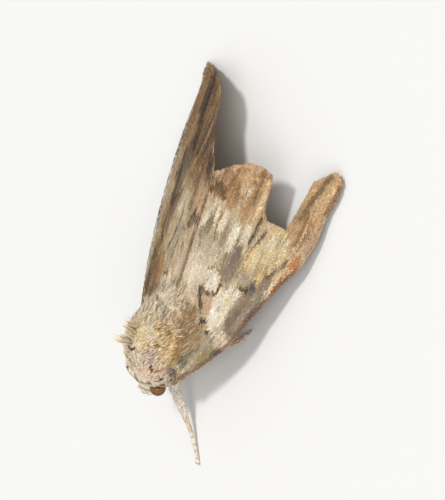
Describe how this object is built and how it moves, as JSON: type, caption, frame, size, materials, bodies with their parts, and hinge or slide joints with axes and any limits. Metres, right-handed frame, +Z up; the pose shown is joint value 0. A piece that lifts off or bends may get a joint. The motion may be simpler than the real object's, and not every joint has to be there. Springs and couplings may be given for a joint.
{
  "type": "moth at rest",
  "caption": "Falcate noctuid-type moth at rest, life size, with roof-like bark-patterned wings, a furry thorax with a pale crest and a stretched foreleg.",
  "frame": {"origin": "on the floor under the middle of the outline, where the six feet stand", "axes": "+Y towards the head, +X to the moth's right, +Z up"},
  "size_m": [0.026, 0.0392, 0.0115],
  "materials": {
    "wing_scales": "matt scales in broken-wood pattern",
    "hindwing_scales": "matt plain scales",
    "fur": "soft hair-like scales",
    "belly_fur": "short scales in rings",
    "leg_scales": "pale scales with darker rings",
    "eye": "glossy amber brown"
  },
  "bodies": {
    "root": {"thorax": "fur", "head": "fur", "abdomen": "belly_fur", "forewing_left": "wing_scales", "forewing_right": "wing_scales", "hindwing_left": "hindwing_scales", "hindwing_right": "hindwing_scales", "eye_left": "eye", "eye_right": "eye", "palp_left": "fur", "palp_right": "fur", "antenna_left": "leg_scales", "antenna_right": "leg_scales", "foreleg_left": "leg_scales", "foreleg_right": "leg_scales", "midleg_left": "leg_scales", "midleg_right": "leg_scales", "hindleg_left": "leg_scales", "hindleg_right": "leg_scales"}
  },
  "joints": []
}
